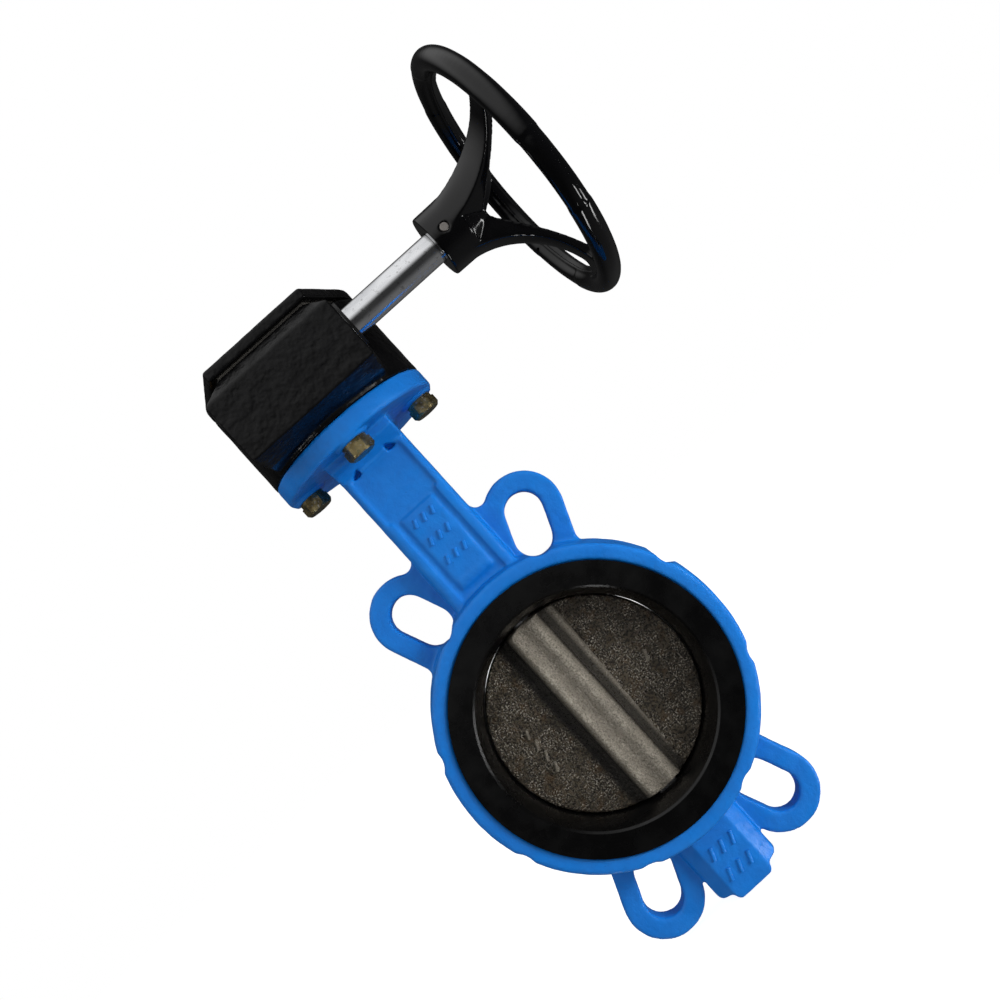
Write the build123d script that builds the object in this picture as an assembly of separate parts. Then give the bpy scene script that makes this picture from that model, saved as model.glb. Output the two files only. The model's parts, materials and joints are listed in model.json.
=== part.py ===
"""DN 100 wafer butterfly valve with a worm gear operator and a handwheel.

Millimetres.  The origin is where the stem axis crosses the pipe axis.
+Z runs up the stem to the gearbox, +X along the worm shaft to the handwheel,
and Y along the pipe.  The disc stands closed, in the XZ plane.
"""
from build123d import *
from math import acos, cos, degrees, hypot, pi, radians, sin, tan
import os

# ---------------------------------------------------------------- driving dimensions

# Wafer body: 52 mm face to face, clamped between DN 100 PN 16 pipe flanges.
FACE_HALF = 26.0            # rubber face to the middle plane
RING_HALF = 24.5            # cast face to the middle plane
BODY_BORE_R = 60.0
RING_FACE_R = 75.2
RING_MID_R = 77.8
LIP_RECESS_R = 67.8
LIP_RECESS_DEPTH = 2.0

# Ears with radial slots for the pipe bolts (PCD 180) and clearance notches.
BOLT_CIRCLE_R = 90.0
EAR_ANGLES = (67.5, 112.5, 247.5, 292.5)
EAR_HALF = 5.5
EAR_R = 19.5
SLOT_R = 9.5
SLOT_LENGTH = 32.0
NOTCH_ANGLES = (22.5, 157.5, 202.5, 337.5)
NOTCH_R = 9.5
NOTCH_CIRCLE_R = 83.5

# Neck and bottom boss.
NECK_HALF_X = 19.0
NECK_HALF_Y = 16.0
BOSS_HALF_X = 17.5
BOSS_Z = -107.0
BOSS_TIP_Z = -110.8
RELIEF = 0.35               # height of the raised marks

# Actuator flange, ISO 5211 F07.
FLANGE_R = 45.0
FLANGE_LOW_Z = 165.0
FLANGE_TOP_Z = 175.0
FLANGE_BOLT_R = 35.0
BOLT_PAD_R = 8.6
BOLT_PAD_Z = 163.4
SPRING_WASHER_Z = 161.4
BOLT_HEAD_Z = 156.1
SPIGOT_R = 27.5
SPIGOT_DEPTH = 3.0

# Stem and its bearings.
STEM_R = 8.0
STEM_BORE_R = 10.0
STEM_LOW_Z = -97.0
STEM_TOP_Z = 225.0
RUN = 0.05                  # radial running clearance
FIT = 0.02                  # radial clearance of a seated part

# Disc and seat.
DISC_R = 51.5
DISC_PLATE_HALF = 8.0
DISC_RIB_HALF = 14.0
DISC_END_Z = 51.3
SEAT_R = 51.8
SEAT_MOUTH_R = 55.2

# Worm gear: one left-hand thread, 24 teeth, module 2.4.
MODULE = 2.4
WHEEL_TEETH = 24
CENTRE_DISTANCE = 40.0
GEAR_Z = 203.2
WHEEL_HALF = 7.0
WHEEL_FLAT = 18.0           # travel-stop flats, from the stem axis
WHEEL_HUB_R = 14.0
WORM_HALF = 14.0
SHAFT_R = 7.5
SHAFT_NECK_R = 5.5

# Gearbox casting.
DRUM_R = 45.0
BOX_FRONT_Y = -60.0
BOX_LEFT_X = -36.5
BOX_RIGHT_X = 34.0
BOX_LOW_Z = 181.6
BOX_HIGH_Z = 213.2
HOUSING_TOP_Z = 220.5
COVER_LOW_Z = 221.5
COVER_TOP_Z = 227.0
COVER_FRONT_Y = -55.5
COVER_FRONT_HALF = 28.2
CAVITY_R = 33.5
WORM_CAVITY_R = 15.0
FLOOR_Z = 181.0
STOP_X = 20.0
STOP_PAD_Y = 44.0

# Handwheel.
HUB_FACE_X = 86.3
HUB_R = 15.6
HUB_END_X = 113.0
RIM_X = 135.4
RIM_R = 62.0
RIM_TUBE_R = 5.5
RIM_SLIM_R = 5.2            # between the three grips
RIM_GRIP_START = 219.0
RIM_GRIP_ARC = 88.0
ARM_ANGLES = (153.0, 33.0, 273.0)   # from +Y towards +Z
ARM_HUB_HALF = 9.8
ARM_RIM_HALF = 4.2
HAND_PIN_X = 93.6
HAND_PIN_R = 2.2

# Derived values.
WORM_Y = -CENTRE_DISTANCE
WHEEL_PITCH_R = MODULE * WHEEL_TEETH / 2
WORM_PITCH_R = CENTRE_DISTANCE - WHEEL_PITCH_R
THREAD_PITCH = pi * MODULE
SLOT_HALF_RUN = SLOT_LENGTH / 2 - SLOT_R


# ---------------------------------------------------------------- shape helpers

def block(x0, x1, y0, y1, z0, z1):
    """Box between two opposite corners."""
    centre = Pos((x0 + x1) / 2, (y0 + y1) / 2, (z0 + z1) / 2)
    return centre * Box(x1 - x0, y1 - y0, z1 - z0)


def rod_x(radius, x0, x1, y=WORM_Y, z=GEAR_Z):
    """Cylinder along X, on the worm axis unless told otherwise."""
    return Pos((x0 + x1) / 2, y, z) * Rot(0, 90, 0) * Cylinder(radius, x1 - x0)


def rod_y(radius, y0, y1, x=0, z=0):
    """Cylinder along Y."""
    return Pos(x, (y0 + y1) / 2, z) * Rot(90, 0, 0) * Cylinder(radius, y1 - y0)


def rod_z(radius, z0, z1, x=0, y=0):
    """Cylinder along Z, on the stem axis unless told otherwise."""
    return Pos(x, y, (z0 + z1) / 2) * Cylinder(radius, z1 - z0)


def sleeve_z(outer, inner, z0, z1, x=0, y=0):
    """Tube along Z."""
    return rod_z(outer, z0, z1, x, y) - rod_z(inner, z0 - 1, z1 + 1, x, y)


def sleeve_x(outer, inner, x0, x1):
    """Tube along the worm axis."""
    return rod_x(outer, x0, x1) - rod_x(inner, x0 - 1, x1 + 1)


def around(count, radius, start=0.0):
    """Points evenly spaced on a circle, as (x, y)."""
    steps = [radians(start + 360 * i / count) for i in range(count)]
    return [(radius * cos(a), radius * sin(a)) for a in steps]


def turned_about_y(outline):
    """Solid of revolution about the pipe axis from (radius, y) points."""
    return revolve(make_face(outline), axis=Axis.Y)


def nearest(sketch, points):
    """The sketch's vertices closest to the given (x, y) points."""
    corners = sketch.vertices()
    return [min(corners, key=lambda v: hypot(v.X - x, v.Y - y)) for x, y in points]


def side_view(sketch, half):
    """Extrude a sketch drawn in X and Z by the same amount each way along Y."""
    return extrude(Plane.XZ * sketch, amount=half, both=True)


def polar(radius, angle):
    """Point at a radius and an angle in degrees."""
    return (radius * cos(radians(angle)), radius * sin(radians(angle)))


# ---------------------------------------------------------------- valve body

def ear_outline():
    """Flat outline of ears, neck root and boss root, with filleted inside corners."""
    outline = Circle(RING_FACE_R + 1)
    for angle in EAR_ANGLES:
        inner = 70.0
        outer = BOLT_CIRCLE_R + SLOT_HALF_RUN
        place = Pos(*polar((inner + outer) / 2, angle)) * Rot(0, 0, angle)
        outline += place * SlotCenterToCenter(outer - inner, 2 * EAR_R)
    outline += Pos(0, 70) * Rectangle(2 * NECK_HALF_X, 140)
    outline += Pos(0, BOSS_Z / 2) * Rectangle(2 * BOSS_HALF_X, -BOSS_Z)
    neck_corners = [(side * NECK_HALF_X, 97) for side in (-1, 1)]
    boss_corners = [(side * BOSS_HALF_X, -97) for side in (-1, 1)]
    ring_corners = [(side * 46.3, end * 60.9) for side in (-1, 1) for end in (-1, 1)]
    outline = fillet(nearest(outline, neck_corners), 5)
    outline = fillet(nearest(outline, boss_corners), 4)
    return fillet(nearest(outline, ring_corners), 7)


def relief_marks(z_rows, front_y, count, pitch, width, height):
    """Rows of plain raised bars, in place of cast lettering."""
    marks = []
    for z in z_rows:
        for i in range(count):
            x = (i - (count - 1) / 2) * pitch
            marks.append(block(x - width / 2, x + width / 2, front_y - RELIEF, front_y + RELIEF,
                               z - height / 2, z + height / 2))
    return marks


def body_ring():
    """Cast ring, drafted towards its two faces."""
    section = Polyline((BODY_BORE_R - 2, -RING_HALF), (RING_FACE_R, -RING_HALF), (RING_MID_R, 0),
                       (RING_FACE_R, RING_HALF), (BODY_BORE_R - 2, RING_HALF), close=True)
    face = make_face(section)
    rims = nearest(face, [(RING_FACE_R, -RING_HALF), (RING_FACE_R, RING_HALF)])
    return revolve(fillet(rims, 2), axis=Axis.Y)


def body_neck():
    """Neck with recessed panels front and back, under a shelf that meets the flange."""
    neck = block(-NECK_HALF_X, NECK_HALF_X, -NECK_HALF_Y, NECK_HALF_Y, 62, FLANGE_LOW_Z + 1)
    neck = fillet(neck.edges().filter_by(Axis.Z), 3.5)
    shelf = Polyline((-26, FLANGE_LOW_Z + 1), (-26, 160.5), (-15.5, 154.5), (15.5, 154.5),
                     (26, 160.5), (26, FLANGE_LOW_Z + 1), close=True)
    neck += extrude(Plane.YZ * make_face(shelf), amount=NECK_HALF_X, both=True)
    panel_y = NECK_HALF_Y - 1.5
    for side in (-1, 1):
        upper = block(-15.3, 15.3, panel_y, NECK_HALF_Y + 1, 126, 153.4)
        lower = block(-13.2, 13.2, panel_y, NECK_HALF_Y + 1, 70, 126.5)
        pad = block(-9.7, 9.7, panel_y - 1, NECK_HALF_Y - 0.2, 80.5, 124)
        bar = block(-8.2, 8.2, panel_y, NECK_HALF_Y + 0.2, 82.5, 85)
        pocket = make_face(Polyline((8, 152.8), (15.2, 152.8), (8, 156.8), close=True))
        turn = Rot(0, 0, 90 + 90 * side)
        neck = neck - turn * upper - turn * lower + turn * pad + turn * bar
        for flip in (0, 180):
            wedge = Rot(0, 0, flip) * extrude(Plane.XZ * pocket, amount=19)
            neck -= wedge - block(-20, 20, -11, 11, 150, 160)
            wedge = mirror(wedge, Plane.YZ)
            neck -= wedge - block(-20, 20, -11, 11, 150, 160)
    for mark in relief_marks((118.5, 107.5, 96), -NECK_HALF_Y + 0.2, 3, 5.2, 3.2, 3.4):
        neck += mark
    return neck


def body_boss():
    """Closed lower bearing boss with bevelled sides and a raised front panel."""
    outline = [(-BOSS_HALF_X, -9), (-11, -14), (11, -14), (BOSS_HALF_X, -9),
               (BOSS_HALF_X, 9), (11, 14), (-11, 14), (-BOSS_HALF_X, 9)]
    plan = make_face(Polyline(*outline, close=True))
    boss = Pos(0, 0, BOSS_Z) * extrude(plan, amount=50)
    boss = fillet(boss.edges().group_by(Axis.Z)[0].filter_by(Axis.Y), 3)
    panel = block(-10.6, 10.6, -14.6, 14.6, BOSS_TIP_Z, -70)
    boss += fillet(panel.edges().group_by(Axis.Z)[0].filter_by(Axis.Y), 3)
    for mark in relief_marks((-86.5, -98.5), -14.6, 3, 6, 4, 5):
        boss += mark
    return boss


def valve_body():
    """Ring, ears, neck, actuator flange and bottom boss in one casting."""
    body = body_ring() + side_view(ear_outline(), EAR_HALF) + body_neck() + body_boss()
    flange = rod_z(FLANGE_R, FLANGE_LOW_Z, FLANGE_TOP_Z)
    body += fillet(flange.edges().group_by(Axis.Z)[0], 1.5)
    for angle in EAR_ANGLES:
        slot = Rot(0, 0, angle) * SlotCenterToCenter(2 * SLOT_HALF_RUN, 2 * SLOT_R)
        body -= side_view(Pos(*polar(BOLT_CIRCLE_R, angle)) * slot, FACE_HALF + 10)
    for angle in NOTCH_ANGLES:
        x, z = polar(NOTCH_CIRCLE_R, angle)
        body -= rod_y(NOTCH_R, -FACE_HALF, FACE_HALF, x, z)
    body -= rod_y(BODY_BORE_R, -FACE_HALF, FACE_HALF)
    for side in (-1, 1):
        near = side * (RING_HALF - LIP_RECESS_DEPTH)
        far = side * (RING_HALF + 1)
        body -= rod_y(LIP_RECESS_R, min(near, far), max(near, far))
    body -= rod_z(STEM_BORE_R, -99, FLANGE_TOP_Z + 1)
    body -= rod_z(14, 166, FLANGE_TOP_Z + 1)
    body -= rod_z(SPIGOT_R, FLANGE_TOP_Z - SPIGOT_DEPTH, FLANGE_TOP_Z + 1)
    for x, y in around(4, FLANGE_BOLT_R):
        body += rod_z(BOLT_PAD_R, BOLT_PAD_Z, FLANGE_LOW_Z + 1, x, y)
        body -= rod_z(4.5, BOLT_HEAD_Z - 3, FLANGE_TOP_Z + 1, x, y)
        body -= rod_z(BOLT_PAD_R, BOLT_HEAD_Z - 3, BOLT_PAD_Z, x, y)
    return body


def seat_liner():
    """Rubber seat: a sleeve in the body bore with a lip on each face."""
    out = BODY_BORE_R - FIT
    lip = LIP_RECESS_R - 0.3
    inner_y = RING_HALF - LIP_RECESS_DEPTH + FIT
    half = [(SEAT_R, 9), (52.6, 17.5), (SEAT_MOUTH_R, FACE_HALF - 1)]
    wall = ThreePointArc(*half)
    wall_back = ThreePointArc(*[(r, -y) for r, y in half])
    rim = Polyline(half[-1], (SEAT_MOUTH_R + 1, FACE_HALF), (lip, FACE_HALF), (lip, inner_y),
                   (out, inner_y), (out, -inner_y), (lip, -inner_y), (lip, -FACE_HALF),
                   (SEAT_MOUTH_R + 1, -FACE_HALF), (SEAT_MOUTH_R, 1 - FACE_HALF))
    throat = Line((SEAT_R, -9), (SEAT_R, 9))
    liner = turned_about_y([throat, wall, rim, wall_back])
    return liner - rod_z(STEM_R + RUN, -70, 70)


# ---------------------------------------------------------------- disc and stem

def disc():
    """Disc with a full-height hub rib on both faces and a lower rib beside it."""
    plate = block(-60, 60, -DISC_PLATE_HALF, DISC_PLATE_HALF, -60, 60)
    main = Polyline((-15.5, -DISC_PLATE_HALF), (-10.9, -DISC_PLATE_HALF - 1.6),
                    (-10.4, -DISC_RIB_HALF + 1), (-8.5, -DISC_RIB_HALF),
                    (7.2, -DISC_RIB_HALF), (9.2, -DISC_RIB_HALF + 1), (9.8, -DISC_PLATE_HALF + 1),
                    (-15.5, -DISC_PLATE_HALF + 1), close=True)
    half_rib = Pos(0, 0, -60) * extrude(make_face(main), amount=120)
    step_low = make_face(Polyline((5, -7), (5, -8.4), (13, -8.4), (13, -7), close=True))
    step_high = make_face(Polyline((5, -7), (5, -11.2), (16.5, -11.2), (17.5, -7), close=True))
    half_rib += loft([Pos(0, 0, -60) * step_low, Pos(0, 0, 60) * step_high])
    face_y = -DISC_PLATE_HALF
    pips = ((-33, 10), (-33, 3.4), (-33, -3.4), (-33, -10), (33.5, 0))
    marks = [block(x - 1.2, x + 1.2, face_y - RELIEF, face_y + RELIEF, z - 2.2, z + 2.2)
             for x, z in pips]
    solid = plate + half_rib + Rot(0, 0, 180) * half_rib
    for mark in marks:
        solid += mark
    solid &= Sphere(DISC_R)
    solid &= block(-60, 60, -20, 20, -DISC_END_Z, DISC_END_Z)
    solid -= rod_z(STEM_R + FIT, -15, 60)
    flats = block(-10, 10, -6.5 - FIT, 6.5 + FIT, -60, -14)
    return solid - (rod_z(STEM_R + FIT, -60, -15) & flats)


def stem():
    """One-piece stem: flats in the lower hub, a ring groove and a keyway."""
    shaft = rod_z(STEM_R, STEM_LOW_Z, STEM_TOP_Z)
    for side in (-1, 1):
        shaft -= Rot(0, 0, 90 - 90 * side) * block(-10, 10, 6.5, 10, -60, -15)
    shaft -= rod_z(STEM_R + 1, 168.05, 169.35) - rod_z(STEM_R - 0.8, 168, 170)
    shaft -= block(-2.5, 2.5, 5, 10, 190, 219)
    shaft -= rod_z(2.5 + FIT, STEM_TOP_Z - 12, STEM_TOP_Z + 1)
    return chamfer(shaft.edges().group_by(Axis.Z)[0], 1)


def stem_bush(z0, z1):
    """Plain bearing between stem and body."""
    return sleeve_z(STEM_BORE_R - FIT, STEM_R + RUN, z0, z1)


def stem_o_rings():
    """Two stem seals above the upper bush."""
    section_r = (STEM_BORE_R - STEM_R) / 2 - 0.03
    mid_r = (STEM_BORE_R + STEM_R) / 2
    return [Pos(0, 0, z) * Torus(mid_r, section_r) for z in (161.4, 163.8)]


def stem_circlip():
    """Open retaining ring in the stem groove."""
    ring = sleeve_z(11.5, STEM_R - 0.8 + FIT, 168.1, 169.3)
    return ring - block(-2.5, 2.5, 0, 15, 167, 171)


# ---------------------------------------------------------------- fasteners

def hexagon(flats, z0, z1):
    """Hexagonal prism on the Z axis."""
    return Pos(0, 0, z0) * extrude(RegularPolygon(flats / 2, 6, major_radius=False), amount=z1 - z0)


def flange_bolt():
    """M8 hexagon bolt, head down, on the Z axis."""
    head = hexagon(13, BOLT_HEAD_Z, SPRING_WASHER_Z)
    low = (Align.CENTER, Align.CENTER, Align.MIN)
    crown = Pos(0, 0, BOLT_HEAD_Z) * Cone(6.3, 8.4, 2.4, align=low)
    crown += rod_z(9, BOLT_HEAD_Z + 2.4, SPRING_WASHER_Z)
    return (head & crown) + rod_z(4 - FIT, SPRING_WASHER_Z - 1, FLANGE_TOP_Z + 11)


def spring_washer():
    """Split spring washer under a flange bolt head."""
    ring = sleeve_z(6.7, 4.2, SPRING_WASHER_Z, BOLT_PAD_Z)
    middle_z = (SPRING_WASHER_Z + BOLT_PAD_Z) / 2
    return ring - Rot(0, 0, 140) * Pos(6, 0, middle_z) * Rot(25, 0, 0) * Box(6, 1, 5)


def at_flange_bolts(piece):
    """The piece repeated at the four flange bolts."""
    return [Pos(x, y, 0) * piece for x, y in around(4, FLANGE_BOLT_R)]


def cover_screw_points():
    """Centres of the four cover screws, over the drum wall."""
    return [polar(38.5, angle) for angle in (-28, 46, 134, 208)]


def countersink(radius):
    """Cone that narrows downwards from the cover's top face, on the Z axis."""
    low = (Align.CENTER, Align.CENTER, Align.MIN)
    return Pos(0, 0, COVER_TOP_Z - 2.8) * Cone(radius - 2.8, radius, 2.8, align=low)


def cover_screw():
    """M5 countersunk socket screw on the Z axis, flush with the cover."""
    screw = countersink(5.0) + rod_z(2.5 - FIT, COVER_TOP_Z - 16, COVER_TOP_Z - 2)
    return screw - hexagon(3, COVER_TOP_Z - 2, COVER_TOP_Z + 1)


# ---------------------------------------------------------------- gearbox castings

def cover_outline(inset):
    """Plan of the cover: a straight front edge joined tangentially to the drum circle."""
    half = COVER_FRONT_HALF - inset
    front = COVER_FRONT_Y + inset
    radius = DRUM_R - inset
    reach = hypot(half, front)
    tangent = degrees(acos(radius / reach)) - degrees(acos(half / reach))
    x, y = polar(radius, tangent)
    wedge = make_face(Polyline((-half, front), (half, front), (x, y), (-x, y), close=True))
    return Circle(radius) + wedge


def housing_outside():
    """Drum, worm box with bevelled top and underside, and the two stop-screw pads."""
    body = rod_z(DRUM_R, FLANGE_TOP_Z, HOUSING_TOP_Z)
    body += Pos(0, 0, BOX_HIGH_Z) * extrude(cover_outline(3), amount=HOUSING_TOP_Z - BOX_HIGH_Z)
    body += block(BOX_LEFT_X, BOX_RIGHT_X, BOX_FRONT_Y, -12, BOX_LOW_Z, BOX_HIGH_Z)
    middle = (BOX_LEFT_X + BOX_RIGHT_X) / 2
    width = BOX_RIGHT_X - BOX_LEFT_X

    def section(z, x, half, front_y):
        depth = -12 - front_y
        return Pos(x, front_y + depth / 2, z) * Rectangle(2 * half, depth)

    hip_top = section(HOUSING_TOP_Z - 0.5, 0, COVER_FRONT_HALF - 3, COVER_FRONT_Y + 1.5)
    body += loft([section(BOX_HIGH_Z, middle, width / 2, BOX_FRONT_Y), hip_top])
    hip_low = section(BOX_LOW_Z - 4.4, middle, width / 2 - 1.5, BOX_FRONT_Y + 15)
    body += loft([hip_low, section(BOX_LOW_Z, middle, width / 2, BOX_FRONT_Y)])
    body += rod_x(11.5, BOX_RIGHT_X - 3, BOX_RIGHT_X + 2)
    for side in (-1, 1):
        body += rod_y(8, 20, STOP_PAD_Y, side * STOP_X, GEAR_Z)
        body += block(side * STOP_X - 8, side * STOP_X + 8, 20, STOP_PAD_Y - 2, FLANGE_TOP_Z, GEAR_Z)
    return body & (rod_z(80, FLANGE_TOP_Z, 300))


def gearbox_housing():
    """Housing bored for the wheel, the worm line, the stops and all threads."""
    body = housing_outside()
    body += rod_z(SPIGOT_R - 0.1, FLANGE_TOP_Z - SPIGOT_DEPTH + 0.5, FLANGE_TOP_Z + 1)
    body -= rod_z(CAVITY_R, FLOOR_Z, HOUSING_TOP_Z + 1)
    body -= rod_x(WORM_CAVITY_R, BOX_LEFT_X - 1, 19.2)
    body -= rod_x(10, 19, 29.5)
    body -= rod_x(12, 29.5, BOX_RIGHT_X + 3)
    body -= rod_z(WHEEL_HUB_R + 3, FLANGE_TOP_Z - 5, FLOOR_Z + 1)
    for x, y in around(4, FLANGE_BOLT_R):
        body -= rod_z(4, FLANGE_TOP_Z - 1, FLANGE_TOP_Z + 12, x, y)
    for x, y in cover_screw_points():
        body -= rod_z(2.5, COVER_TOP_Z - 17, HOUSING_TOP_Z + 1, x, y)
    for side in (-1, 1):
        body -= rod_y(4, 15, STOP_PAD_Y + 1, side * STOP_X, GEAR_Z)
    return body


def gearbox_cover():
    """Cover plate with a raised dial ring, closed and open marks and a bore for the hub."""
    plate = Pos(0, 0, COVER_LOW_Z) * extrude(cover_outline(0), amount=COVER_TOP_Z - COVER_LOW_Z)
    plate = chamfer(plate.edges().group_by(Axis.Z)[-1], 0.8)
    plate += sleeve_z(27, 24.5, COVER_TOP_Z - 1, COVER_TOP_Z + 1.6)
    for angle in (180, 225, 270):
        tick = block(27.5, 31.5, -0.9, 0.9, COVER_TOP_Z - 1, COVER_TOP_Z + 0.8)
        plate += Rot(0, 0, angle) * tick
    plate -= rod_z(WHEEL_HUB_R + 3, COVER_LOW_Z - 1, COVER_TOP_Z + 1)
    for x, y in cover_screw_points():
        plate -= rod_z(2.75, COVER_LOW_Z - 1, COVER_TOP_Z + 1, x, y)
        plate -= Pos(x, y, 0) * countersink(5.05)
    return plate


def cover_gasket():
    """Flat gasket between housing and cover."""
    sheet = Pos(0, 0, HOUSING_TOP_Z) * extrude(cover_outline(3.2), amount=COVER_LOW_Z - HOUSING_TOP_Z)
    sheet -= rod_z(CAVITY_R, HOUSING_TOP_Z - 1, COVER_LOW_Z + 1)
    for x, y in cover_screw_points():
        sheet -= rod_z(2.75, HOUSING_TOP_Z - 1, COVER_LOW_Z + 1, x, y)
    return sheet


# ---------------------------------------------------------------- worm gear

def tooth_gap(angle):
    """Cutter for one tooth gap, slanted to the lead of the left-hand worm."""
    gap_tip = THREAD_PITCH / 2 + 1.25
    gap_root = 1.4
    tip_y = -(WHEEL_PITCH_R + MODULE + 1)
    root_y = -(WHEEL_PITCH_R - 1.2 * MODULE)
    section = make_face(Polyline((-gap_tip, tip_y), (gap_tip, tip_y), (gap_root, root_y),
                                 (-gap_root, root_y), close=True))
    lean = -THREAD_PITCH / (2 * pi * WORM_PITCH_R)
    reach = WHEEL_HALF + 1
    low = Pos(-lean * reach, 0, GEAR_Z - reach) * section
    high = Pos(lean * reach, 0, GEAR_Z + reach) * section
    return Rot(0, 0, angle) * loft([low, high])


def worm_wheel():
    """Quarter-turn wheel: toothed on three quarters, flats for the stops, long keyed hub."""
    tip_r = WHEEL_PITCH_R + MODULE
    rim = rod_z(tip_r, GEAR_Z - WHEEL_HALF, GEAR_Z + WHEEL_HALF)
    for i in range(WHEEL_TEETH):
        rim -= tooth_gap(360 * i / WHEEL_TEETH)
    rim -= block(WHEEL_FLAT, 40, -40, 40, 190, 220)
    rim -= block(-40, 40, WHEEL_FLAT, 40, 190, 220)
    corner = block(0, 40, 0, 40, 190, 220) - rod_z(WHEEL_FLAT, 189, 221)
    rim -= corner
    hub = rod_z(WHEEL_HUB_R, FLANGE_TOP_Z + 1, COVER_TOP_Z + 0.5)
    hub += rod_z(WHEEL_HUB_R + 3, FLOOR_Z + 0.2, COVER_LOW_Z - 0.2)
    wheel = rim + hub
    wheel -= rod_z(STEM_R + FIT, FLANGE_TOP_Z, COVER_TOP_Z + 2)
    return wheel - block(-2.5 - FIT, 2.5 + FIT, 4, 10.3, FLANGE_TOP_Z, COVER_TOP_Z + 2)


def wheel_bush(z0, z1):
    """Plain bearing round the wheel hub."""
    return sleeve_z(WHEEL_HUB_R + 3 - FIT, WHEEL_HUB_R + RUN, z0, z1)


def worm():
    """Left-hand worm on its sleeve, cross-drilled for its pin."""
    root_r = WORM_PITCH_R - 1.2 * MODULE
    tip_r = WORM_PITCH_R + MODULE
    sunk_r = root_r - 0.4
    slope = tan(radians(20))
    pitch_half = THREAD_PITCH / 4 - 0.15
    tip_half = pitch_half - MODULE * slope
    sunk_half = pitch_half + (WORM_PITCH_R - sunk_r) * slope
    path = Helix(THREAD_PITCH, 6 * THREAD_PITCH, WORM_PITCH_R, lefthand=True)
    section = Polyline((sunk_r, -sunk_half), (tip_r, -tip_half), (tip_r, tip_half),
                       (sunk_r, sunk_half), close=True)
    thread = sweep(Plane.XZ * make_face(section), path=path, is_frenet=True)
    thread = Pos(0, 0, -3 * THREAD_PITCH) * thread
    body = thread + Cylinder(root_r, 8 * THREAD_PITCH)
    body &= Cylinder(tip_r + 1, 2 * WORM_HALF)
    body = Pos(0, WORM_Y, GEAR_Z) * Rot(0, 90, 0) * Rot(0, 0, 90) * body
    body += rod_x(root_r, -21, WORM_HALF) + rod_x(root_r, WORM_HALF, 17.2)
    body -= rod_x(SHAFT_NECK_R + FIT, -22, 18)
    return body - rod_z(2, 180, 230, -17.5, WORM_Y)


def worm_pin():
    """Straight pin through worm sleeve and shaft."""
    return rod_z(2 - FIT, GEAR_Z - 8.2, GEAR_Z + 8.2, -17.5, WORM_Y)


def input_shaft():
    """Plated shaft, necked down inside the worm, drilled for both pins."""
    shaft = rod_x(SHAFT_NECK_R, -32.5, 17.25) + rod_x(SHAFT_R, 17.25, HUB_END_X - 3)
    shaft = chamfer(shaft.edges().group_by(Axis.X)[-1], 1)
    shaft -= rod_z(2, 180, 230, -17.5, WORM_Y)
    return shaft - rod_y(HAND_PIN_R, WORM_Y - 20, WORM_Y + 20, HAND_PIN_X, GEAR_Z)


def thrust_washers():
    """Hardened washers at the two ends of the worm."""
    inner = sleeve_x(13, SHAFT_NECK_R + RUN, -23.1, -21.1)
    return [inner, sleeve_x(13, SHAFT_R + RUN, 17.35, 19.15)]


def stop_screw(side):
    """M8 set screw whose tip ends just clear of the wheel's flat."""
    screw = rod_y(4 - FIT, WHEEL_FLAT + 0.15, STOP_PAD_Y + 11, side * STOP_X, GEAR_Z)
    socket = Pos(side * STOP_X, STOP_PAD_Y + 6.5, GEAR_Z) * Rot(-90, 0, 0) * hexagon(4, 0, 6)
    return screw - socket


def stop_nut(side):
    """M8 lock nut against the housing pad."""
    nut = Pos(side * STOP_X, STOP_PAD_Y, GEAR_Z) * Rot(-90, 0, 0) * hexagon(13, 0, 6.5)
    return nut - rod_y(4, STOP_PAD_Y - 1, STOP_PAD_Y + 8, side * STOP_X, GEAR_Z)


def position_indicator():
    """Round dial plate with a raised arrow that points along the disc."""
    plate = rod_z(21, COVER_TOP_Z + 1, COVER_TOP_Z + 3.6)
    plate = chamfer(plate.edges().group_by(Axis.Z)[-1], 0.6)
    arrow = make_face(Polyline((-20, 0), (-11, 6.5), (-11, 2.6), (17, 2.6), (17, -2.6),
                               (-11, -2.6), (-11, -6.5), close=True))
    plate += Pos(0, 0, COVER_TOP_Z + 3.5) * extrude(arrow, amount=1.1)
    return plate - rod_z(2.6, COVER_TOP_Z, COVER_TOP_Z + 6)


def indicator_screw():
    """M5 button-head screw into the end of the stem."""
    head_z = COVER_TOP_Z + 4.6
    head = rod_z(4.75, head_z, head_z + 2.7)
    head = fillet(head.edges().group_by(Axis.Z)[-1], 1.6)
    screw = head + rod_z(2.5, STEM_TOP_Z - 10, head_z)
    return screw - hexagon(3, head_z + 1, head_z + 4)


# ---------------------------------------------------------------- handwheel

def arm_outline():
    """Front view of three tapering arms and the inner edge of the rim."""
    outline = Circle(RIM_R) - Circle(RIM_R - RIM_TUBE_R - 1)
    taper = Polyline((0, ARM_HUB_HALF), (RIM_R, ARM_RIM_HALF), (RIM_R, -ARM_RIM_HALF),
                     (0, -ARM_HUB_HALF), close=True)
    for angle in ARM_ANGLES:
        outline += Rot(0, 0, angle) * make_face(taper)
    crotches = outline.vertices().filter_by(lambda v: 5 < hypot(v.X, v.Y) < HUB_R)
    outline = fillet(crotches, 3)
    corners = outline.vertices().filter_by(lambda v: 52 < hypot(v.X, v.Y) < RIM_R - RIM_TUBE_R)
    return fillet(corners, 6)


def rim():
    """Round rim with three thicker grips, about the X axis."""
    ring = Pos(RIM_X, 0, 0) * Rot(0, 90, 0) * Torus(RIM_R, RIM_SLIM_R)
    section = Pos(RIM_X, RIM_R) * Circle(RIM_TUBE_R)
    for turn in (0, 120, 240):
        grip = revolve(section, axis=Axis.X, revolution_arc=RIM_GRIP_ARC)
        ring += Rot(RIM_GRIP_START + turn, 0, 0) * grip
    return ring


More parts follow.
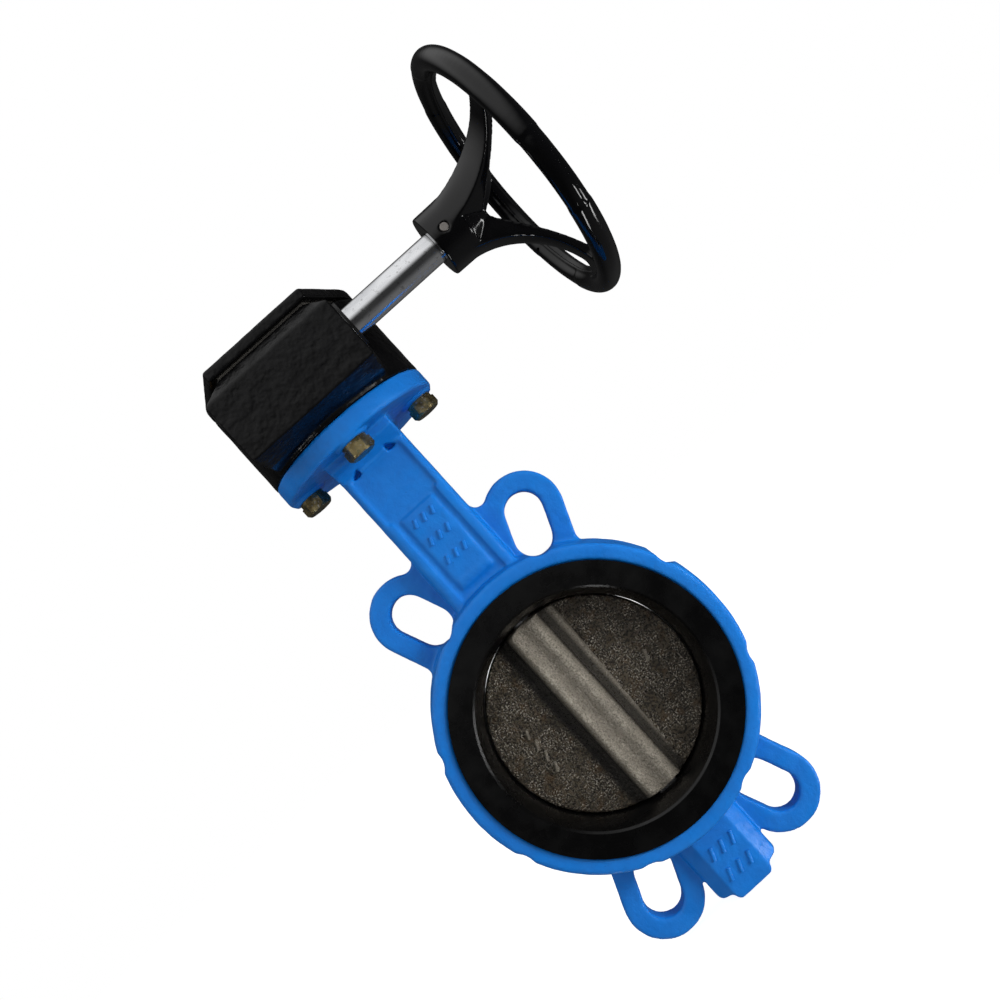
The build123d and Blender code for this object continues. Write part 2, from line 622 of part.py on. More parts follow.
def handwheel():
    """Hub flaring like a bell into three flat arms, inside a round rim."""
    outside = ThreePointArc((98, HUB_R + 0.2), (119.5, 26), (134, 50))
    inside = ThreePointArc((138.3, 47.6), (123.8, 23.2), (HUB_END_X, 11.5))
    front = Polyline((HUB_END_X, 11.5), (HUB_END_X, 0), (HUB_FACE_X, 0), (HUB_FACE_X, HUB_R),
                     (98, HUB_R + 0.2))
    rim_end = Polyline((134, 50), (134.2, RIM_R), (138.0, RIM_R), (138.3, 47.6))
    bell = revolve(make_face([outside, rim_end, inside, front]), axis=Axis.X)
    core = make_face(Polyline((HUB_FACE_X, 0), (HUB_FACE_X, HUB_R), (102, HUB_R + 0.2),
                              (109, 12.5), (HUB_END_X, 11.5), (HUB_END_X, 0), close=True))
    wheel = bell & extrude(Plane.YZ * arm_outline(), amount=200)
    wheel += revolve(core, axis=Axis.X) + rim()
    wheel = Pos(0, WORM_Y, GEAR_Z) * wheel
    wheel -= rod_x(SHAFT_R + FIT, HUB_FACE_X - 1, HUB_END_X - 3)
    return wheel - rod_y(HAND_PIN_R, WORM_Y - 30, WORM_Y + 30, HAND_PIN_X, GEAR_Z)


def handwheel_pin():
    """Straight pin through hub and shaft, with rounded ends."""
    half = HUB_R - 0.2
    pin = rod_y(HAND_PIN_R - 0.01, WORM_Y - half, WORM_Y + half, HAND_PIN_X, GEAR_Z)
    return fillet(pin.edges().filter_by(GeomType.CIRCLE), 0.5)


# ---------------------------------------------------------------- all sub-parts

def sub_parts():
    """Every node by name; a list is a group of identical separate solids."""
    sides = (-1, 1)
    return {
        "valve_body": valve_body(),
        "seat_liner": seat_liner(),
        "disc": disc(),
        "stem": stem(),
        "stem_bush_lower": stem_bush(-96, -72),
        "stem_bush_middle": stem_bush(64, 86),
        "stem_bush_upper": stem_bush(138, 160),
        "stem_o_rings": stem_o_rings(),
        "stem_thrust_washer": sleeve_z(13.9, STEM_R + RUN, 166, 168),
        "stem_circlip": stem_circlip(),
        "stem_key": block(-2.5, 2.5, 5.02, 10.2, 190.1, 218.9),
        "flange_bolts": at_flange_bolts(flange_bolt()),
        "flange_spring_washers": at_flange_bolts(spring_washer()),
        "gearbox_housing": gearbox_housing(),
        "gearbox_cover": gearbox_cover(),
        "cover_gasket": cover_gasket(),
        "cover_screws": [Pos(x, y, 0) * cover_screw() for x, y in cover_screw_points()],
        "wheel_bush_lower": wheel_bush(FLANGE_TOP_Z, FLOOR_Z),
        "wheel_bush_upper": wheel_bush(COVER_LOW_Z, COVER_TOP_Z - 2.4),
        "wheel_o_ring": Pos(0, 0, COVER_TOP_Z - 1.2) * Torus(WHEEL_HUB_R + 1.5, 1.15),
        "worm_wheel": worm_wheel(),
        "worm": worm(),
        "worm_pin": worm_pin(),
        "worm_bush_inner": sleeve_x(WORM_CAVITY_R - FIT, SHAFT_NECK_R + RUN, -33, -23.2),
        "worm_bush_outer": sleeve_x(10 - FIT, SHAFT_R + RUN, 19.3, 29.4),
        "thrust_washers": thrust_washers(),
        "input_seal": sleeve_x(12 - FIT, SHAFT_R + RUN, 29.6, BOX_RIGHT_X + 1.6),
        "worm_bore_plug": rod_x(WORM_CAVITY_R - FIT, BOX_LEFT_X - 0.8, -33.1),
        "input_shaft": input_shaft(),
        "stop_screws": [stop_screw(side) for side in sides],
        "stop_lock_nuts": [stop_nut(side) for side in sides],
        "position_indicator": position_indicator(),
        "indicator_screw": indicator_screw(),
        "handwheel": handwheel(),
        "handwheel_pin": handwheel_pin(),
    }


os.makedirs("parts", exist_ok=True)
for node, shape in sub_parts().items():
    export_step(Compound(shape) if isinstance(shape, list) else shape, f"parts/{node}.step")
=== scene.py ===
"""Looks of the DN 100 wafer butterfly valve: cast shapes, materials, light and camera."""

import json

import bmesh
import bpy
import numpy as np
from mathutils import Matrix, Vector


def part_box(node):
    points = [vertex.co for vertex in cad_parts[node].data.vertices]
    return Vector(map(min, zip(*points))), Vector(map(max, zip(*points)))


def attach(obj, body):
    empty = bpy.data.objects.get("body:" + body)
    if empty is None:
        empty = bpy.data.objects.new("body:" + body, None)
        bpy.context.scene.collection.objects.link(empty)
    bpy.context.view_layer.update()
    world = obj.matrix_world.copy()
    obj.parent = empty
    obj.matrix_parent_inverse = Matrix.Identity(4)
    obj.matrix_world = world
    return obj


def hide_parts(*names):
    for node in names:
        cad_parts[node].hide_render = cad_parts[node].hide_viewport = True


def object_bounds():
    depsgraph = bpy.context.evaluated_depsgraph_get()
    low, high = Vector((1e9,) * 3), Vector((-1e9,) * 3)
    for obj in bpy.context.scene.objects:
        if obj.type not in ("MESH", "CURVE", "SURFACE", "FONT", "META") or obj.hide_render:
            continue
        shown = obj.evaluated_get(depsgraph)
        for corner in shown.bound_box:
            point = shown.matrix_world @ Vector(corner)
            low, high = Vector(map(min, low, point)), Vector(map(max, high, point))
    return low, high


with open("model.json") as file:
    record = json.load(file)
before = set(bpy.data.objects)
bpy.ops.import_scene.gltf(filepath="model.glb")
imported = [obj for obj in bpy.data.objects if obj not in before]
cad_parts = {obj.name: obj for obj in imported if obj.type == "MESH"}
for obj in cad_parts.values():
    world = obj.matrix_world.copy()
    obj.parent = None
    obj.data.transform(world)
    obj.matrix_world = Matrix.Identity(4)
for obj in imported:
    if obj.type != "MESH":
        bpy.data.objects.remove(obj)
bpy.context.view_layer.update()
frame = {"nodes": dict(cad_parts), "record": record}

MM = 0.001

# Camera, in the row frame.
CAMERA_PLACE = Vector((0.02272, -0.51366, 0.07568))
CAMERA_FORWARD = Vector((0.01810, 0.99863, 0.04914)).normalized()
CAMERA_RIGHT = Vector((0.73950, 0.01971, -0.67287))
CAMERA_LENS = 38.29


# ---------------------------------------------------------------- materials

class Finish:
    """A Principled material whose colour, roughness and relief come from noise in the part's own space."""

    def __init__(self, name, colour, rough, metallic=0.0, coat=0.0, coat_rough=0.05, specular=0.5):
        self.material = bpy.data.materials.new(name)
        self.material.use_nodes = True
        self.tree = self.material.node_tree
        self.shader = self.tree.nodes["Principled BSDF"]
        values = {"Roughness": rough, "Metallic": metallic, "Coat Weight": coat,
                  "Coat Roughness": coat_rough, "Specular IOR Level": specular,
                  "Base Color": (*colour, 1)}
        for socket, value in values.items():
            self.shader.inputs[socket].default_value = value
        self.colour = None
        self.normal = None
        self.place = self.node("ShaderNodeTexCoord").outputs["Object"]

    def node(self, kind, **values):
        """New node with some of its unlinked inputs set by name."""
        made = self.tree.nodes.new(kind)
        for socket, value in values.items():
            made.inputs[socket.replace("_", " ")].default_value = value
        return made

    def link(self, source, target):
        self.tree.links.new(source, target)

    def stretched(self, stretch):
        """The part's coordinates, scaled along each axis."""
        if stretch is None:
            return self.place
        scaled = self.node("ShaderNodeMapping", Scale=stretch)
        self.link(self.place, scaled.inputs["Vector"])
        return scaled.outputs["Vector"]

    def ranged(self, source, low, high, to_low=0.0, to_high=1.0):
        """A value carried from one range to another, clamped."""
        spread = self.node("ShaderNodeMapRange", From_Min=low, From_Max=high,
                           To_Min=to_low, To_Max=to_high)
        self.link(source, spread.inputs["Value"])
        return spread.outputs["Result"]

    def noise(self, size, detail, low=0.35, high=0.65, stretch=None):
        """Cloudy noise with features of about this size in metres, from 0 to 1."""
        cloud = self.node("ShaderNodeTexNoise", Scale=1 / size, Detail=detail)
        self.link(self.stretched(stretch), cloud.inputs["Vector"])
        return self.ranged(cloud.outputs["Fac"], low, high)

    def specks(self, size, low, high):
        """Round dots scattered at about this spacing, 1 in a dot and 0 between."""
        cells = self.node("ShaderNodeTexVoronoi", Scale=1 / size)
        self.link(self.place, cells.inputs["Vector"])
        return self.ranged(cells.outputs["Distance"], low, high, 1.0, 0.0)

    def times(self, one, other):
        """Product of two factors."""
        product = self.node("ShaderNodeMath")
        product.operation = "MULTIPLY"
        self.link(one, product.inputs[0])
        self.link(other, product.inputs[1])
        return product.outputs["Value"]

    def coordinate(self, axis):
        """One coordinate of the part's own space, in metres."""
        split = self.node("ShaderNodeSeparateXYZ")
        self.link(self.place, split.inputs["Vector"])
        return split.outputs[axis]

    def outward(self, axis, low, high):
        """0 to 1 as the distance from the part's middle along one axis passes these metres."""
        size = self.node("ShaderNodeMath")
        size.operation = "ABSOLUTE"
        self.link(self.coordinate(axis), size.inputs[0])
        return self.ranged(size.outputs["Value"], low, high)

    def behind_rib(self, low, peak, high):
        """Stripe along the stem axis, over these X metres in front and mirrored behind."""
        side = self.ranged(self.coordinate("Y"), -1 * MM, 1 * MM, 1.0, -1.0)
        across = self.times(self.coordinate("X"), side)
        stripe = self.times(self.ranged(across, low, peak), self.ranged(across, peak, high, 1.0, 0.0))
        return self.ranged(stripe, 0, 0.5)

    def tint(self, factor, colour, amount=1.0):
        """Lay a colour over what is there, by a factor and at most by amount."""
        mix = self.node("ShaderNodeMix")
        mix.data_type = "RGBA"
        base, over, result = mix.inputs[6], mix.inputs[7], mix.outputs[2]
        over.default_value = (*colour, 1)
        if self.colour is None:
            base.default_value = self.shader.inputs["Base Color"].default_value
        else:
            self.link(self.colour, base)
        self.link(self.ranged(factor, 0, 1, 0, amount), mix.inputs["Factor"])
        self.colour = result
        self.link(result, self.shader.inputs["Base Color"])

    def gloss(self, factor, low, high):
        """Roughness that goes from low to high with a factor."""
        self.link(self.ranged(factor, 0, 1, low, high), self.shader.inputs["Roughness"])

    def relief(self, height, depth, strength=1.0):
        """Bumps of about this depth in metres, on top of any already there."""
        bump = self.node("ShaderNodeBump", Strength=strength, Distance=depth)
        self.link(height, bump.inputs["Height"])
        if self.normal is not None:
            self.link(self.normal, bump.inputs["Normal"])
        self.normal = bump.outputs["Normal"]
        self.link(self.normal, self.shader.inputs["Normal"])


def blue_epoxy():
    """Fusion bonded epoxy over a sand casting: flowed, slightly uneven, with tiny pits."""
    f = Finish("blue_epoxy", (0.0035, 0.175, 0.63), 0.38, coat=0.08, coat_rough=0.12, specular=0.35)
    f.tint(f.noise(45 * MM, 2), (0.008, 0.215, 0.70), 0.45)
    f.tint(f.noise(7 * MM, 4), (0.003, 0.135, 0.52), 0.40)
    f.tint(f.specks(5.5 * MM, 0.02, 0.07), (0.002, 0.08, 0.33), 0.6)
    f.gloss(f.noise(9 * MM, 3), 0.28, 0.50)
    f.relief(f.noise(2.4 * MM, 2), 0.09 * MM, 0.8)
    f.relief(f.noise(0.8 * MM, 2), 0.03 * MM, 0.6)
    return f


def cast_gloss(name, colour):
    """Black enamel brushed over a rough sand casting: half gloss, with orange peel and dimples."""
    f = Finish(name, colour, 0.3, coat=0.04, coat_rough=0.10, specular=0.22)
    f.tint(f.noise(18 * MM, 3), (0.0045, 0.0045, 0.005), 0.6)
    f.tint(f.noise(1.1 * MM, 3, 0.58, 0.78), (0.010, 0.010, 0.0095), 0.5)
    f.gloss(f.noise(6 * MM, 3), 0.24, 0.42)
    f.relief(f.noise(7 * MM, 2), 0.30 * MM, 0.7)
    f.relief(f.noise(3.2 * MM, 1), 0.14 * MM, 0.8)
    f.relief(f.specks(5.0 * MM, 0.05, 0.26), 0.10 * MM, 0.5)
    return f


def handwheel_gloss():
    """Thick dip coat: deep black, wet gloss, long slow waves and a few dust nibs."""
    f = Finish("handwheel_gloss", (0.0018, 0.0018, 0.0022), 0.09, coat=0.1, coat_rough=0.02, specular=0.38)
    f.tint(f.noise(25 * MM, 2), (0.0035, 0.0035, 0.004), 0.6)
    f.gloss(f.noise(8 * MM, 3), 0.05, 0.17)
    f.relief(f.noise(14 * MM, 1.5), 0.10 * MM, 0.4)
    f.relief(f.specks(9 * MM, 0.0, 0.035), 0.08 * MM, 0.4)
    return f


def seat_rubber():
    """Moulded rubber, satin with a light bloom and polished high spots."""
    f = Finish("seat_rubber", (0.0014, 0.0014, 0.0015), 0.26, specular=0.4)
    f.tint(f.noise(14 * MM, 4), (0.0026, 0.0026, 0.0027), 0.7)
    f.tint(f.noise(3 * MM, 4, 0.60, 0.82), (0.008, 0.008, 0.008), 0.30)
    f.gloss(f.noise(10 * MM, 4), 0.20, 0.38)
    f.relief(f.noise(1.2 * MM, 3), 0.018 * MM, 0.6)
    return f


def cast_disc():
    """Dark shell-cast iron with a brown cast and bright grains, a painted highlight on its rib crests and
    raised parts, and painted shade beside the ribs.
    """
    f = Finish("cast_disc", (0.048, 0.039, 0.026), 0.42, metallic=0.25, specular=0.6)
    f.tint(f.noise(16 * MM, 4), (0.110, 0.090, 0.062), 0.75)
    f.tint(f.noise(1.3 * MM, 4, 0.46, 0.56), (0.008, 0.006, 0.004), 0.85)
    f.tint(f.noise(5 * MM, 5, 0.56, 0.72), (0.085, 0.045, 0.014), 0.5)
    grains = f.times(f.noise(0.8 * MM, 3, 0.54, 0.63), f.noise(6 * MM, 4, 0.38, 0.60))
    f.tint(grains, (0.48, 0.44, 0.37), 0.9)
    # Painted highlight along the crests of the hub ribs, patchy along their length.
    crest_highlight = f.times(f.outward("Y", 12.0 * MM, 14.0 * MM), f.noise(0.9 * MM, 4, 0.34, 0.60))
    patchy = f.noise(11 * MM, 3, 0.20, 0.55)
    f.tint(f.times(crest_highlight, patchy), (0.60, 0.55, 0.46), 0.95)
    # Painted highlight on whatever stands proud of the plate: the raised marks and the step beside the
    # rib.
    f.tint(f.outward("Y", 8.5 * MM, 9.0 * MM), (0.30, 0.27, 0.22), 0.6)
    # Painted shade in two stripes along the rib: at the foot of its left flank and in the groove right of
    # the ridges.
    f.tint(f.behind_rib(-19 * MM, -13.5 * MM, -8.8 * MM), (0.005, 0.004, 0.003), 0.92)
    f.tint(f.behind_rib(7.6 * MM, 10.2 * MM, 14.5 * MM), (0.006, 0.005, 0.004), 0.80)
    f.gloss(f.noise(0.8 * MM, 3), 0.24, 0.52)
    f.relief(f.noise(1.4 * MM, 3), 0.45 * MM, 1.0)
    f.relief(f.noise(0.5 * MM, 2), 0.18 * MM, 1.0)
    return f


def metal(name, colour, dark, rough, grain=None, spots=0.35, scratch=0.02):
    """Bare or plated metal: mottled colour, uneven polish and fine lines along the grain."""
    f = Finish(name, colour, rough, metallic=1.0)
    f.tint(f.noise(6 * MM, 4), dark, spots)
    fine = f.noise(0.5 * MM, 3, 0.3, 0.7, stretch=grain)
    f.tint(fine, dark, 0.35)
    f.gloss(f.noise(3 * MM, 3), rough * 0.75, min(1.0, rough * 1.5))
    f.relief(fine, scratch * MM, 0.5)
    return f


def plated_shaft():
    """Bright plated bar: near mirror, with smears drawn along it and small dull spots."""
    f = Finish("plated_shaft", (0.86, 0.87, 0.89), 0.10, metallic=1.0)
    f.tint(f.noise(5 * MM, 4, 0.5, 0.75, stretch=(0.25, 1, 1)), (0.42, 0.43, 0.46), 0.45)
    f.tint(f.noise(2.2 * MM, 3, 0.60, 0.72), (0.16, 0.15, 0.14), 0.40)
    f.gloss(f.noise(6 * MM, 3, stretch=(0.3, 1, 1)), 0.08, 0.22)
    return f


def yellow_passivated():
    """Zinc plate with a yellow chromate film, iridescent and worn to steel in places."""
    f = Finish("yellow_passivated", (0.36, 0.29, 0.14), 0.30, metallic=0.85)
    f.tint(f.noise(4 * MM, 4, 0.42, 0.62), (0.15, 0.105, 0.040), 0.85)
    f.tint(f.noise(3 * MM, 3, 0.52, 0.68), (0.12, 0.16, 0.10), 0.6)
    f.tint(f.noise(1.6 * MM, 4, 0.58, 0.70), (0.60, 0.58, 0.52), 0.7)
    f.tint(f.specks(3 * MM, 0.02, 0.10), (0.03, 0.020, 0.010), 0.7)
    f.gloss(f.noise(2 * MM, 4), 0.20, 0.52)
    f.relief(f.noise(0.6 * MM, 3), 0.03 * MM, 0.7)
    return f


def dull(name, colour, lighter, rough, size, depth):
    """Rubber, fibre or plastic: matte, mottled and slightly grained."""
    f = Finish(name, colour, rough, specular=0.4)
    f.tint(f.noise(8 * size, 3), lighter, 0.5)
    f.tint(f.noise(size, 3, 0.5, 0.7), lighter, 0.35)
    f.gloss(f.noise(4 * size, 3), rough * 0.8, min(1.0, rough * 1.25))
    f.relief(f.noise(size, 3), depth, 0.6)
    return f


FINISHES = {
    "blue_epoxy": blue_epoxy(),
    "seat_rubber": seat_rubber(),
    "cast_disc": cast_disc(),
    "stainless_steel": metal("stainless_steel", (0.60, 0.60, 0.61), (0.40, 0.40, 0.41), 0.26,
                             grain=(0.1, 0.1, 1)),
    "bearing_bronze": metal("bearing_bronze", (0.52, 0.34, 0.15), (0.30, 0.18, 0.07), 0.38),
    "seal_rubber": dull("seal_rubber", (0.008, 0.008, 0.008), (0.020, 0.020, 0.020), 0.45, 1 * MM,
                        0.02 * MM),
    "spring_steel": metal("spring_steel", (0.40, 0.38, 0.36), (0.20, 0.18, 0.16), 0.34),
    "machined_steel": metal("machined_steel", (0.50, 0.50, 0.51), (0.32, 0.31, 0.31), 0.28,
                            grain=(1, 0.1, 0.1)),
    "yellow_passivated": yellow_passivated(),
    "black_paint": cast_gloss("black_paint", (0.0022, 0.0022, 0.0025)),
    "gasket_fibre": dull("gasket_fibre", (0.035, 0.033, 0.030), (0.075, 0.070, 0.062), 0.85, 1 * MM,
                         0.06 * MM),
    "black_oxide": metal("black_oxide", (0.045, 0.045, 0.050), (0.020, 0.019, 0.018), 0.36),
    "gear_iron": metal("gear_iron", (0.34, 0.34, 0.35), (0.20, 0.19, 0.18), 0.40),
    "plated_shaft": plated_shaft(),
    "zinc_plated": metal("zinc_plated", (0.62, 0.64, 0.67), (0.42, 0.43, 0.46), 0.28, spots=0.5),
    "indicator_plastic": dull("indicator_plastic", (0.72, 0.46, 0.02), (0.80, 0.56, 0.07), 0.38,
                              1.5 * MM, 0.02 * MM),
    "handwheel_gloss": handwheel_gloss(),
}
SLOT_OF = {part["node"]: part["material_slot"] for part in frame["record"]["subparts"]}
BODY_OF = {node: body for body, nodes in frame["record"]["behaviour"]["bodies"].items()
           for node in nodes}


def dress(piece, slot):
    """Give a mesh object one slot's material."""
    piece.data.materials.clear()
    piece.data.materials.append(FINISHES[slot].material)


for name, node in frame["nodes"].items():
    dress(node, SLOT_OF[name])


# ---------------------------------------------------------------- cast shapes

def evaluated(piece):
    """A plain mesh of the object as its modifiers leave it."""
    graph = bpy.context.evaluated_depsgraph_get()
    graph.update()
    return bpy.data.meshes.new_from_object(piece.evaluated_get(graph))


def applied(piece):
    """Bake the object's modifiers into its mesh."""
    mesh = evaluated(piece)
    piece.modifiers.clear()
    piece.data = mesh


def points_of(mesh):
    """Vertex positions in millimetres as an array of rows."""
    flat = np.empty(len(mesh.vertices) * 3, np.float32)
    mesh.vertices.foreach_get("co", flat)
    return flat.reshape(-1, 3).astype(float) / MM


def put_points(mesh, points):
    """Write vertex positions in millimetres back to the mesh."""
    mesh.vertices.foreach_set("co", (points * MM).astype(np.float32).ravel())
    mesh.update()


def smooth(piece, times):
    """Even out the surface, which also rounds its edges."""
    soften = piece.modifiers.new("soften", "SMOOTH")
    soften.factor = 0.5
    soften.iterations = times


def ripple(piece, name, size, depth):
    """Push the surface in and out by cloudy noise, as sand and thick paint leave it."""
    clouds = bpy.data.textures.new(name, "CLOUDS")
    clouds.noise_scale = size
    clouds.noise_depth = 1
    push = piece.modifiers.new(name, "DISPLACE")
    push.texture = clouds
    push.texture_coords = "LOCAL"
    push.strength = depth
    push.mid_level = 0.5


def dash(x, y, z, half, lean):
    """Short straight bar, leaning by this share of its height."""
    return [(x - lean * half, y, z - half), (x + lean * half, y, z + half)]


def raised(piece, lines, radius):
    """Add rounded raised strokes along these lines of points, in millimetres, to the piece's mesh."""
    curve = bpy.data.curves.new("strokes", "CURVE")
    curve.dimensions = "3D"
    curve.bevel_depth = radius * MM
    curve.bevel_resolution = 3
    curve.use_fill_caps = True
    for line in lines:
        spline = curve.splines.new("POLY")
        spline.points.add(len(line) - 1)
        for point, place in zip(spline.points, line):
            point.co = (*(Vector(place) * MM), 1)
    holder = bpy.data.objects.new("strokes", curve)
    bpy.context.scene.collection.objects.link(holder)
    strokes = evaluated(holder)
    joined = bmesh.new()
    joined.from_mesh(piece.data)
    joined.from_mesh(strokes)
    joined.to_mesh(piece.data)
    joined.free()
    bpy.data.objects.remove(holder)
    bpy.data.meshes.remove(strokes)


def cast(name, voxel, softness, waves=(), sculpt=None, lines=(), stroke=0.0):
    """A softened copy of a CAD node with real rounded edges and an uneven skin, in its place.

    The voxel size and each wave's size and depth are in metres, the stroke's radius in millimetres.
    """
    source = frame["nodes"][name]
    piece = bpy.data.objects.new(name + "_cast", source.data.copy())
    bpy.context.scene.collection.objects.link(piece)
    remesh = piece.modifiers.new("remesh", "REMESH")
    remesh.mode = "VOXEL"
    remesh.voxel_size = voxel
    applied(piece)
    if sculpt is not None:
        points = points_of(piece.data)
        put_points(piece.data, sculpt(points))
    smooth(piece, softness)
    for i, (size, depth) in enumerate(waves):
        ripple(piece, f"{name}_wave_{i}", size, depth)
    applied(piece)
    low, high = (np.array(corner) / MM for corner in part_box(name))
    put_points(piece.data, np.clip(points_of(piece.data), low, high))
    if lines:
        raised(piece, lines, stroke)
    piece.data.polygons.foreach_set("use_smooth", [True] * len(piece.data.polygons))
    dress(piece, SLOT_OF[name])
    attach(piece, BODY_OF[name])
    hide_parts(name)


# Ridges on the disc's hub ribs, in millimetres from the stem axis.
RIDGE_LEFT = -7.4
RIDGE_RIGHT = 4.0
RIDGE_HOLLOW = 1.8
CROWN_START = 12.4
CROWN_BLEND = 1.0
CROWN_CUT_MAX = 2.2
SHOULDER_CURVE = 0.16       # fall outside the ridges, per square millimetre


def disc_ridges(points):
    """Shape the crown of each hub rib into two long rounded ridges with a hollow between them."""
    x, y, z = points.T
    side = np.sign(y)
    along = x * -side
    crown = np.clip((np.abs(y) - CROWN_START) / CROWN_BLEND, 0, 1)
    middle = (along - RIDGE_LEFT) / (RIDGE_RIGHT - RIDGE_LEFT)
    hollow = RIDGE_HOLLOW * (1 - np.cos(2 * np.pi * np.clip(middle, 0, 1))) / 2
    outside = np.maximum(RIDGE_LEFT - along, along - RIDGE_RIGHT)
    hollow += SHOULDER_CURVE * np.maximum(outside, 0) ** 2
    y = y - side * np.minimum(hollow, CROWN_CUT_MAX) * crown
    return np.column_stack((x, y, z))


# Rows of plain leaning bars, where a casting carries its raised marks.
NECK_FRONT_Y = -15.7
BOSS_FRONT_Y = -14.6
DISC_FRONT_Y = -8.1
NECK_MARKS = [dash(x, NECK_FRONT_Y, z, 1.9, 0.4) for z in (118.5, 107.5, 96) for x in (-5.2, 0, 5.2)]
BOSS_MARKS = [dash(x, BOSS_FRONT_Y, z, 2.8, 0.4) for z in (-86.5, -98.5) for x in (-6, 0, 6)]
DISC_MARKS = [dash(-33, DISC_FRONT_Y, z, 2.2, 0.5) for z in (10, 3.4, -3.4, -10)]
DISC_MARKS.append(dash(33.5, DISC_FRONT_Y, 0, 2.6, 0.5))

cast("valve_body", 0.8 * MM, 6, [(7 * MM, 0.25 * MM), (2.4 * MM, 0.10 * MM)],
     lines=NECK_MARKS + BOSS_MARKS, stroke=1.1)
cast("gearbox_housing", 0.8 * MM, 6, [(8 * MM, 0.30 * MM), (3.2 * MM, 0.10 * MM)])
cast("gearbox_cover", 0.7 * MM, 5, [(8 * MM, 0.25 * MM), (3.2 * MM, 0.08 * MM)])
cast("handwheel", 0.5 * MM, 18, [(12 * MM, 0.12 * MM)])
cast("disc", 0.6 * MM, 7, [(3 * MM, 0.20 * MM), (1.2 * MM, 0.16 * MM)], disc_ridges, DISC_MARKS, 1.0)


# ---------------------------------------------------------------- studio

CAMERA_UP = CAMERA_RIGHT.cross(CAMERA_FORWARD).normalized()
FOCUS = Vector((0.03, 0, 0.06))
FLOOR_GAP = 0.4 * MM
FLOOR_REACH = 4.0


def picture_direction(right, up, toward):
    """Unit vector from the picture's own directions."""
    return (right * CAMERA_RIGHT.normalized() + up * CAMERA_UP - toward * CAMERA_FORWARD).normalized()


def make_camera():
    """Camera in front of the valve, rolled so that the stem leans to the upper left."""
    data = bpy.data.cameras.new("camera")
    data.lens = CAMERA_LENS
    data.sensor_width = 36
    data.clip_start = 0.01
    data.clip_end = 50
    camera = bpy.data.objects.new("camera", data)
    right = CAMERA_FORWARD.cross(CAMERA_UP)
    turn = Matrix((right, CAMERA_UP, -CAMERA_FORWARD)).transposed().to_4x4()
    camera.matrix_world = Matrix.Translation(CAMERA_PLACE) @ turn
    bpy.context.scene.collection.objects.link(camera)
    bpy.context.scene.camera = camera


def softbox(name, right, up, toward, size, power, mirrored=True):
    """Rectangular lamp placed by the picture's own directions and aimed at the valve."""
    data = bpy.data.lights.new(name, "AREA")
    data.shape = "RECTANGLE"
    data.size, data.size_y = size
    data.energy = power
    lamp = bpy.data.objects.new(name, data)
    lamp.visible_glossy = mirrored
    offset = picture_direction(right, up, toward) * Vector((right, up, toward)).length
    lamp.location = FOCUS + offset
    lamp.rotation_euler = (-offset).to_track_quat("-Z", "Y").to_euler()
    bpy.context.scene.collection.objects.link(lamp)


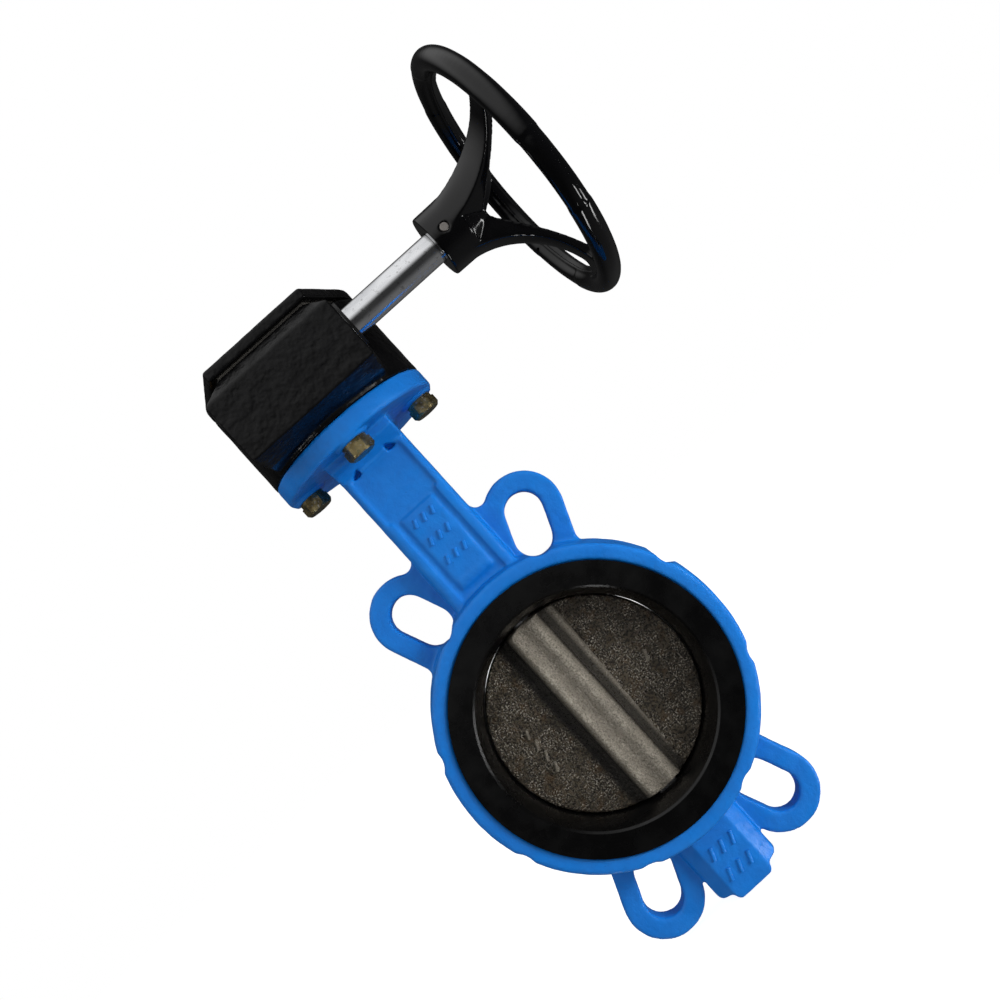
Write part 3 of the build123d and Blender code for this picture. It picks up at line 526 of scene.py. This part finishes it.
def make_world(fill, dim, sides):
    """White backdrop for the camera, even fill light, and a dim room with bright sides to reflect.

    Each side is its direction, the cosines between which it fades in, and its strength.
    """
    world = bpy.data.worlds.new("studio")
    bpy.context.scene.world = world
    world.use_nodes = True
    nodes, links = world.node_tree.nodes, world.node_tree.links

    def background(strength):
        made = nodes.new("ShaderNodeBackground")
        made.inputs["Color"].default_value = (1, 1, 1, 1)
        made.inputs["Strength"].default_value = strength
        return made

    def mixed(factor, one, other):
        mix = nodes.new("ShaderNodeMixShader")
        links.new(factor, mix.inputs["Fac"])
        links.new(one, mix.inputs[1])
        links.new(other, mix.inputs[2])
        return mix.outputs["Shader"]

    looking = nodes.new("ShaderNodeTexCoord").outputs["Generated"]
    room = background(dim)
    glow = None
    for direction, start, end, bright in sides:
        facing = nodes.new("ShaderNodeVectorMath")
        facing.operation = "DOT_PRODUCT"
        facing.inputs[1].default_value = direction
        links.new(looking, facing.inputs[0])
        fade = nodes.new("ShaderNodeMapRange")
        fade.interpolation_type = "SMOOTHSTEP"
        low = dim if glow is None else 0.0
        values = {"From Min": start, "From Max": end, "To Min": low, "To Max": bright}
        for socket, value in values.items():
            fade.inputs[socket].default_value = value
        links.new(facing.outputs["Value"], fade.inputs["Value"])
        if glow is None:
            glow = fade.outputs["Result"]
        else:
            both = nodes.new("ShaderNodeMath")
            links.new(glow, both.inputs[0])
            links.new(fade.outputs["Result"], both.inputs[1])
            glow = both.outputs["Value"]
    links.new(glow, room.inputs["Strength"])
    path = nodes.new("ShaderNodeLightPath")
    lit = mixed(path.outputs["Is Glossy Ray"], background(fill).outputs[0], room.outputs[0])
    seen = mixed(path.outputs["Is Camera Ray"], lit, background(1.0).outputs[0])
    links.new(seen, nodes["World Output"].inputs["Surface"])


def make_floor():
    """Pale seamless floor just under the lowest point of the valve."""
    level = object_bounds()[0][2] - FLOOR_GAP
    mesh = bpy.data.meshes.new("floor")
    turns = ((-1, -1), (1, -1), (1, 1), (-1, 1))
    corners = [(x * FLOOR_REACH, y * FLOOR_REACH, level) for x, y in turns]
    mesh.from_pydata(corners, [], [(0, 1, 2, 3)])
    floor = bpy.data.objects.new("floor", mesh)
    bpy.context.scene.collection.objects.link(floor)
    paper = Finish("floor_paper", (0.50, 0.50, 0.50), 0.8, specular=0.0)
    paper.tint(paper.noise(0.4, 2), (0.48, 0.48, 0.48), 0.5)
    paper.shader.inputs["Emission Color"].default_value = (1, 1, 1, 1)
    paper.shader.inputs["Emission Strength"].default_value = 0.90
    mesh.materials.append(paper.material)
    floor.visible_diffuse = False
    floor.visible_glossy = False


make_camera()
make_world(0.52, 0.030, [(picture_direction(-0.75, 0.55, 0.35), 0.30, 0.85, 0.85),
                         (picture_direction(0.75, -0.60, -0.15), 0.30, 0.95, 0.10)])
make_floor()
softbox("key", 0.90, 0.62, 0.62, (0.6, 0.6), 26, mirrored=False)
softbox("window", 0.76, -0.10, 0.60, (0.10, 0.20), 0.9)
softbox("right", 1.00, 0.05, 0.25, (0.12, 0.50), 2.2)
softbox("low", 0.15, -1.00, 0.30, (0.50, 0.12), 2.2)
softbox("side", -0.90, 0.30, 0.40, (0.3, 0.9), 1.5, mirrored=False)
bpy.context.scene.view_settings.view_transform = "Standard"
